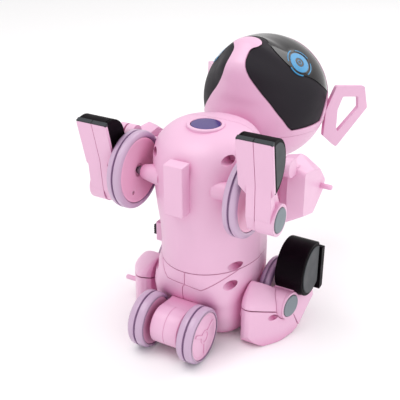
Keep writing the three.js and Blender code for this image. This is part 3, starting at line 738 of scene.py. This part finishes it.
def printed(side, inner, outer, spans=((0, 360),), top=0.3):
    """A thin printed ring, or arcs of one, that follows the head's surface around an eye."""
    parts = []
    for start, end in spans:
        count = max(8, int((end - start) / 5))
        angles = [math.radians(start + (end - start) * k / count) for k in range(count + 1)]
        if end - start >= 360:
            tube = cut(rod("z", outer, 40, 70, (0, 0, 0), 96), rod("z", inner, 30, 80, (0, 0, 0), 96))
        else:
            edge = [(outer * math.cos(a), outer * math.sin(a)) for a in angles]
            edge += [(inner * math.cos(a), inner * math.sin(a)) for a in reversed(angles)]
            tube = prism("z", edge, 40, 70)
        parts.append(about_eye(tube, side))
    tubes = fuse(parts[0], *parts[1:]) if len(parts) > 1 else parts[0]
    return cut(common(tubes, head_solid(top)), head_solid(top + 0.5))


def below_seam(gap=0):
    return block((-80, 40, 80), (80, 200, HEAD_SEAM + gap))


def rear_zone(gap=0):
    slope = [(127, 141.5), (200, 141.5), (200, 183 + gap), (127, 142.7 + gap)]
    return fuse(below_seam(gap), side_slab(slope))


def head_bore():
    return rod("y", HEAD_BORE, 50, 110, (0, 0, NECK_Z), 64)


def make_head():
    rear = cut(common(shell(0), rear_zone()), head_bore())
    pink(rear, "head_back", "head", "head_rear_shell", edge=0.3, segments=2)
    face = cut(common(shell(-0.25), face_zone(0)), rear_zone(GAP), head_bore())
    pink(face, "face_pink", "head", "face_frame", edge=0.3, segments=2)
    crease = smooth_line(CREASE)
    above = [(250, 163), (250, 260), (113, 260)]
    mask = cut(shell(0.15), face_zone(GAP), below_seam())
    brow = common(mask, side_slab(above + crease))
    brow = cut(brow, eye_bore(1, EYE_ROOM), eye_bore(-1, EYE_ROOM))
    finished(brow, "brow_visor", VISOR, "head", "black_visor", "visor_brow")
    low_mask = cut(shell(0.6), face_zone(GAP), below_seam())
    lower = [(y - 0.25, z - 0.2 if z < 210 else z + 0.25) for y, z in crease]
    cheeks = cut(low_mask, side_slab(above + lower), eye_bore(1, EYE_ROOM), eye_bore(-1, EYE_ROOM))
    finished(cheeks, "cheek_visor", CHEEK, "head", "charcoal_visor", "visor_cheeks")
    for name, side in SIDES:
        base = cut(common(eye_bore(side, 10), head_solid(0.45)), head_solid(3.2))
        finished(base, f"eye_base_{name}", EYE_DARK, "head", "eye_blue", f"eye_{name}")
        rings = (
            ("iris", 4.1, 8.9, ((0, 360),), 0.3),
            ("pupil", 1.5, 2.1, ((0, 360),), 0.3),
            ("arc", 11.1, 12, ARCS, 0.02),
        )
        for part, inner, outer, spans, top in rings:
            ring = printed(side, inner, outer, spans, top)
            finished(ring, f"eye_{part}_{name}", EYE_BLUE, "head", "eye_blue")
        make_ear(name, side)


def make_ear(name, side):
    rim = rounded([(6.9, 174), (33.1, 171), (37.3, 152), (10.1, 120.1), (-2.7, 132.2), (-1.9, 154.1)], 2.4)
    hole = [(13.3, 164.3), (27.6, 162.6), (28.6, 153.1), (10.4, 133.9), (9.1, 137.6), (9.2, 153.5)]
    flat = cut(prism("y", rim, -2, 2), prism("y", rounded(hole, 1.4), -4, 4))
    x, y = 0.64, 0.7684  # the ear stands out from the head in this direction
    lift = Matrix.Translation(Vector((0, SHIFT_Y / 1000, 0)))
    turn = Matrix(((x, y, 0, 0.051), (y, -x, 0, 0.138), (0, 0, 1, 0), (0, 0, 0, 1)))
    flat.data.transform(lift @ turn @ lift.inverted())
    flat.data.flip_normals()
    ear = mirrored(cut(flat, head_solid(-0.3, 72, 36)), side)
    pink(ear, f"ear_hollow_{name}", "head", f"ear_{name}", edge=0.7)


# ---- front legs ----
HOUSING = (
    (56, ((28, 107), (42, 104), (61, 115), (65, 127), (59, 142), (48, 149), (30, 147))),
    (66, ((25, 105), (42, 102), (64, 113), (68, 127), (62, 144), (50, 151), (26, 150))),
    (79, ((27, 112.6), (47, 107), (66, 119), (68.5, 126), (56, 139.5), (44, 142.8), (27, 147))),
)
ARM_LENGTH = 43.2
SHOULDER = (0, 20.4, 152)
ELBOW = (0, 20.4 - ARM_LENGTH, 152)  # before the arm swings down
PANEL = (
    (54, 61.5, 2), (54, 27, 0.6), (60, 20, 1.5), (60, -8, 1.5), (76.5, -8, 1.5), (76.5, 20, 1), (80, 25, 1),
    (80, 61.5, 2),
)
RAMP = ((-5, 30), (-7.3, 29, 0.3), (-11, 5, 6), (-9.5, -6, 4), (-5, -9.4, 2), (0, -9.4))
ARM_SEAM = ((-8, 62), (-6.8, 62), (-6.8, 29), (-10.4, 5), (-9.2, -4), (-8, -10), (-14, -10), (-14, 5))
FRONT_PAW = (
    (-4.7, 23.2), (0, 24.5), (5, 27.6), (9, 32), (12, 38.5), (13, 46), (12, 52), (9, 57.2), (4.5, 60.8),
    (0, 62.2), (-4.7, 62.6),
)
PAW_MIDDLE = 43  # over the elbow
ARM_DOWN = {"left": 0.525, "right": 1.005}
LEAN = {"left": 0.166, "right": 0.24}
PIN = 2.2


def make_shoulder(name, side):
    rings = [[(x, y, z) for y, z in rounded(points, 3.5, 5)] for x, points in HOUSING]
    root = prism("x", rounded([(32, 116), (56, 118), (58, 136), (36, 146)], 3), 38, 60)
    housing = fuse(stack(rings), root)
    housing = cut(housing, block((65, 10, 104), (66.6, 25.6, 160)), block((57.5, 0, 90), (66, 33, 180)))
    lug = fuse(rod("x", 7, 66.5, 72, SHOULDER), block((66.5, 20.4, 145), (72, 34, 149)))
    lug = fuse(lug, rod("x", PIN, 58, 67, SHOULDER, 24))
    housing = mirrored(fuse(housing, lug), side)
    pink(housing, f"shoulder_{name}", "torso", f"shoulder_housing_{name}", edge=0.9, angle=28)
    peg = lathe("x", [(0, 76), (2, 76), (2, 87.3), (1.6, 87.8), (1.2, 88), (0, 88)], (0, 60, 124), 32)
    pink(mirrored(peg, side), f"shoulder_peg_{name}", "torso")


def make_upper_arm(name, side):
    body = f"upper_arm_{name}"
    bar = block((58, ELBOW[1], 147), (65, SHOULDER[1], 157))
    link = fuse(rod("x", 7, 58, 65, SHOULDER), bar, rod("x", 5, 58, 65, ELBOW))
    link = cut(link, rod("x", PIN + GAP, 50, 70, SHOULDER, 32), rod("x", PIN + GAP, 50, 70, ELBOW, 32))
    slot = rounded([(-14, 150), (9, 150), (9, 154), (-14, 154)], 1.2)
    link = cut(link, prism("x", slot, 64.4, 66))
    swung(link, SHOULDER, ARM_DOWN[name])
    pink(mirrored(link, side), f"arm_link_{name}", body, body)


def from_elbow(name, points, low, high):
    """A prism with its outline in Y and Z from an elbow."""
    elbow = PIVOT[f"elbow_{name}"]
    return prism("x", [(elbow.y + y, elbow.z + z) for y, z in points], low, high)


def leaned(obj, name, side):
    """Leans a piece of the forearm about its elbow, and puts it on its side."""
    elbow = PIVOT[f"elbow_{name}"]
    return mirrored(swung(obj, (0, elbow.y, elbow.z), LEAN[name]), side)


def make_forearm(name, side):
    body = f"forearm_{name}"
    elbow = PIVOT[f"elbow_{name}"]
    centre = (0, elbow.y, elbow.z)
    face = rounded([(x, elbow.z + z, r) for x, z, r in PANEL], 1)
    panel = prism("y", face, elbow.y - 7.3, elbow.y - 5)
    core = rounded([(-5.1, -8), (7, -8, 3), (8.5, 4, 2), (3, 22.5), (-5.1, 22.5)], 0.4)
    arm = fuse(panel, from_elbow(name, core, 60, 76.5), rod("x", 11.4, 66.5, 80, centre, 72))
    arm = fuse(arm, from_elbow(name, rounded(RAMP, 0.4), 60, 78))
    arm = cut(arm, rod("x", 9.3, 78.5, 82, centre, 64), rod("x", 5.5, 57.5, 65.5, centre))
    arm = cut(arm, block((57.5, elbow.y - 4.9, elbow.z - 20), (65.5, elbow.y + 30, elbow.z + 30)))
    arm = cut(arm, from_elbow(name, ARM_SEAM, 66.4, 66.8))
    arm = fuse(arm, rod("x", PIN, 58, 67, centre, 24))
    pink(leaned(arm, name, side), f"forearm_panel_{name}", body, f"forearm_{name}", edge=0.45)
    disc = lathe("x", [(0, 78.8), (9, 78.8), (9, 80.3), (8.6, 80.75), (0, 80.8)], centre, 64)
    finished(mirrored(disc, side), f"elbow_disc_{name}", GREY, body, "grey_cap", f"elbow_cap_{name}")


def make_front_paw(name, side):
    """A rubber pad with a groove by its inner face, a charcoal side and a charcoal strip across its crown."""
    body = f"forearm_{name}"
    outline = smooth_line(FRONT_PAW, 3)

    def scaled(wide, tall, shift=0):
        return [(y * wide + shift, (z - PAW_MIDDLE) * tall + PAW_MIDDLE) for y, z in outline]

    ring = from_elbow(name, scaled(1.2, 1.1, 1), 55.6, 56.3)
    ring = cut(ring, from_elbow(name, scaled(0.94, 0.95), 50, 60))
    paw = leaned(cut(from_elbow(name, outline, 54.4, 79.6), ring), name, side)
    finished(paw, f"paw_front_{name}", RUBBER, body, "black_rubber", f"front_paw_{name}", edge=0.8)
    cheek = leaned(from_elbow(name, scaled(0.82, 0.84, 0.83), 79.2, 79.95), name, side)
    finished(cheek, f"paw_front_side_{name}", RUBBER_SIDE, body, "black_rubber", edge=0.3)
    strip = from_elbow(name, rounded([(-7.2, 61), (-7.2, 62.4), (-4, 63), (-4, 60)], 0.3), 54.2, 79.8)
    strip = cut(strip, from_elbow(name, [(-8, 50), (8, 50), (8, 70), (-8, 70)], 66.4, 66.8))
    strip = leaned(strip, name, side)
    finished(strip, f"paw_front_crown_{name}", RUBBER_SIDE, body, "black_rubber", edge=0.2)


# ---- hind legs ----
THIGH_PLAN = (
    (41, 8), (43.5, 4.5), (47.5, 1.5, 3), (51, 2.5, 2), (54, 5.5), (60, 13), (66, 21.5), (68.5, 27),
    (70.5, 34, 0.5), (74, 46, 0.5), (41, 46, 0.5),
)
SHIN = (
    (72, 7, -11), (74.3, 13.5, -25), (74.5, 17, -22.5), (77.5, 33, -6.5), (76.5, 30, 6), (73.5, 9, 15.5),
    (71, 2, 9),
)
SHANK_INNER = 56
PLATE = SHANK_INNER - GAP
HIND_AXLE = (0, 56.4, 26.3)
WHEEL_ROOM = 33
KNEE_ROOM = 11.9
KNEE_STEPS = (5, 11, 17, 22)  # degrees, where the lower leg's room is cut from the thigh's lid
KNEE_TOE = 0.2  # how far the knee's disc is turned towards the front
PAW = (24, 22.5, 22)


def bezier(points, steps=10):
    """A line of cubic pieces: start, then triples of handles and end."""
    out = [tuple(points[0])]
    for i in range(1, len(points) - 2, 3):
        a, b, c, d = Vector(out[-1]), Vector(points[i]), Vector(points[i + 1]), Vector(points[i + 2])
        for k in range(1, steps + 1):
            t = k / steps
            near = (1 - t) ** 3 * a + 3 * t * (1 - t) ** 2 * b
            out.append(tuple(near + 3 * t * t * (1 - t) * c + t**3 * d))
    return out


def gap_line(y):
    """The height of the gap between a thigh's two covers."""
    return 36.7 - 0.37 * y


def carved(cover, knee, footed):
    """Takes the room of the hind wheel, and of the knee where there is one, out of a thigh's cover."""
    cover = cut(cover, rod("x", WHEEL_ROOM, 30, PLATE - 3, HIND_AXLE, 72))
    if footed:
        cover = cut(cover, rod("x", KNEE_ROOM, PLATE, 90, (0, knee.y, knee.z), 64))
    return cover


def shin_room(knee, degrees):
    """The space that the lower leg takes when the knee is bent."""
    shin = prism("x", [(knee.y + y, knee.z + z) for _, y, z in SHIN], PLATE, 80)
    room = fuse(shin, rod("x", 22.5, PLATE, 90, (0, knee.y + PAW[0], knee.z + PAW[1]), 64))
    return swung(room, knee, math.radians(degrees))


def make_thigh(name, side, knee, footed):
    body = f"thigh_{name}"
    rings = []
    for level in range(13):
        turn = math.radians(88 * level / 12)
        inward, rise = math.cos(turn) ** 1.1, math.sin(turn)
        ring = []
        for x, y in rounded([*THIGH_PLAN[:-2], (71, 37, 2), (41, 37, 0.5)], 1.5, 3):
            y = 24 + (y - 24) * inward
            ring.append((41 + (x - 41) * inward, y, gap_line(y) + 0.5 + (46.8 - gap_line(y)) * rise))
        rings.append(ring)
    lid = carved(stack(rings), knee, footed)
    if footed:
        lid = cut(lid, *[shin_room(knee, degrees) for degrees in KNEE_STEPS])
        lid = fuse(lid, rod("x", 3, PLATE - 1, 66, (0, knee.y, knee.z), 24))
    pink(mirrored(lid, side), f"thigh_cover_{name}", body, f"thigh_upper_{name}", edge=0.7)
    belly = bezier([(0.3, gap_line(0.3) - 0.5), (-2.5, 22), (1, 5), (12, 0.3)])
    tail = [(27, 0.3), (38, 1.2), (44, 3.4), (45.1, 5.1), (38.6, 19.1), (34, gap_line(34) - 0.5)]
    plan = carved(prism("z", rounded(THIGH_PLAN, 1.5, 3), -1, 60), knee, footed)
    tray = common(prism("x", belly + tail, 30, 80), plan)
    tray = fuse(cut(tray, rod("y", 2.6, 4, 22, (63.5, 0, 25), 24)), rod("x", 6, 33, 42, (0, 20, 23)))
    if not footed:
        peg = lathe("x", [(0, 62), (2, 62), (2, 74.4), (1.6, 74.9), (0, 75)], (0, 22, 17.5), 32)
        tray = fuse(tray, peg)
    pink(mirrored(tray, side), f"thigh_tray_{name}", body, f"thigh_lower_{name}", edge=0.7)


def make_lower_leg(name, side, knee):
    body = f"shank_{name}"
    axis = (0, knee.y, knee.z)
    at = lambda y, z: (knee.y + y, knee.z + z)
    toed = lambda obj: swung(obj, (71, knee.y, knee.z), -KNEE_TOE, "Z")
    shin = stack([[(SHANK_INNER, *at(y, z)) for _, y, z in SHIN], [(x, *at(y, z)) for x, y, z in SHIN]])
    boss = toed(rod("x", 11.2, SHANK_INNER + 5, 72, axis, 72))
    recess = toed(rod("x", 9.3, 70.6, 80, axis, 64))
    leg = fuse(rod("x", 11.4, SHANK_INNER, 69, axis, 72), boss, shin)
    leg = cut(leg, recess, rod("x", 3.3, 50, 66.5, axis, 32))
    leg = cut(leg, rod("x", PAW[2] + GAP, 50, 90, (0, *at(PAW[0], PAW[1])), 96))
    pink(mirrored(leg, side), f"lower_leg_{name}", body, f"shank_{name}", edge=0.7)
    disc = toed(lathe("x", [(0, 70.9), (9, 70.9), (9, 72.3), (8.6, 72.75), (0, 72.8)], axis, 64))
    finished(mirrored(disc, side), f"knee_disc_{name}", GREY, body, "grey_cap", f"knee_cap_{name}")

    centre_y, centre_z, radius = PAW
    arc = []
    for k in range(61):
        angle = 0.95 + (2 * math.pi - 1.9) * k / 60
        arc.append((centre_y + radius * math.cos(angle), centre_z + radius * math.sin(angle)))
    paw = mirrored(prism("x", [at(y, z) for y, z in arc], SHANK_INNER, 78.6), side)
    finished(paw, f"paw_hind_{name}", RUBBER, body, "black_rubber", f"hind_paw_{name}", edge=1.0)
    small = [(centre_y + (y - centre_y) * 0.86 - 0.6, centre_z + (z - centre_z) * 0.86) for y, z in arc]
    face = prism("x", [at(y, z) for y, z in small], 78.2, 79.5)
    finished(mirrored(face, side), f"paw_hind_side_{name}", RUBBER_SIDE, body, "black_rubber", edge=0.5)
    flat = rounded([(36.5, -3), (43, -2), (43, 35), (36.5, 36)], 1.5)
    sole = prism("x", [at(y, z) for y, z in flat], SHANK_INNER + 1, 81)
    finished(mirrored(sole, side), f"paw_sole_{name}", RUBBER, body, "black_rubber", edge=0.5)


# ---- what shows little or not at all ----
def make_inside():
    """Gives the solids that are shown as packed their materials."""
    nodes = {"circuit_board": BOARD, "speaker": DARK, "battery_pack": DARK}
    nodes.update(dict.fromkeys(("front_axle", "tail_axle", "hind_axle", "drive_motor", "leg_motor"), STEEL))
    for node, material in nodes.items():
        obj = NODES[node]
        obj.data.materials.clear()
        obj.data.materials.append(material)


# ---- camera, light and floor ----
def make_stage():
    camera = bpy.data.objects.new("camera", bpy.data.cameras.new("camera"))
    camera.data.lens = 70.23
    camera.data.sensor_width = 36
    camera.location = (0.2595, (-442.1 + SHIFT_Y) / 1000, 0.3749)
    camera.rotation_euler = (math.radians(90 - 26.58), 0, math.radians(29.51))
    bpy.context.scene.collection.objects.link(camera)
    bpy.context.scene.camera = camera

    reach = 3000
    corners = [(-reach, -reach, 0), (reach, -reach, 0), (reach, reach, 0), (-reach, reach, 0)]
    floor = make("floor", corners, [(0, 1, 2, 3)])
    white = bpy.data.materials.new("floor_white")
    white.use_nodes = True
    tree = white.node_tree
    shader = tree.nodes["Principled BSDF"]
    shader.inputs["Roughness"].default_value = 0.9
    shader.inputs["Specular IOR Level"].default_value = 0.05
    speckle = tree.nodes.new("ShaderNodeTexNoise")
    speckle.inputs["Scale"].default_value = 3
    tone = tree.nodes.new("ShaderNodeMapRange")
    tone.inputs["To Min"].default_value = 0.93
    tone.inputs["To Max"].default_value = 0.96
    tree.links.new(speckle.outputs["Fac"], tone.inputs["Value"])
    tree.links.new(tone.outputs["Result"], shader.inputs["Base Color"])
    floor.data.materials.append(white)

    world = bpy.data.worlds.new("studio")
    world.use_nodes = True
    world.node_tree.nodes["Background"].inputs["Color"].default_value = (1, 0.985, 0.99, 1)
    world.node_tree.nodes["Background"].inputs["Strength"].default_value = 0.83
    bpy.context.scene.world = world

    def lamp(name, spot, size, power, target=(0, 0, 0.11)):
        light = bpy.data.lights.new(name, "AREA")
        light.shape = "DISK"
        light.size = size
        light.energy = power
        obj = bpy.data.objects.new(name, light)
        obj.location = spot
        obj.rotation_euler = (Vector(target) - Vector(spot)).to_track_quat("-Z", "Y").to_euler()
        bpy.context.scene.collection.objects.link(obj)

    lamp("key", (-0.35, -0.45, 1.4), 1.0, 7.5)
    lamp("fill", (1.0, -0.5, 0.7), 1.0, 2.2)
    lamp("rim", (0.5, 0.8, 0.9), 0.8, 4)
    scene = bpy.context.scene
    scene.view_settings.view_transform = "Standard"


make_stage()
make_chest_front()
make_chest_back()
make_battery_door()
make_rump()
make_sensor()
make_belly_panel()
make_axle_bosses()
make_switch()
make_neck()
make_tail()
for label, _ in SIDES:
    make_wheel(f"front_wheel_{label}", 30, 5.6, 25)
    make_wheel(f"tail_wheel_{label}", 22, 6.7, 18.8, capped=True)
    make_wheel(f"hind_wheel_{label}", 26, 5, 21.5)
make_head()
for label, side in SIDES:
    make_shoulder(label, side)
    make_upper_arm(label, side)
    make_forearm(label, side)
    make_front_paw(label, side)
    make_thigh(label, side, PIVOT["knee_left"], side > 0)
make_lower_leg("left", 1, PIVOT["knee_left"])
make_inside()
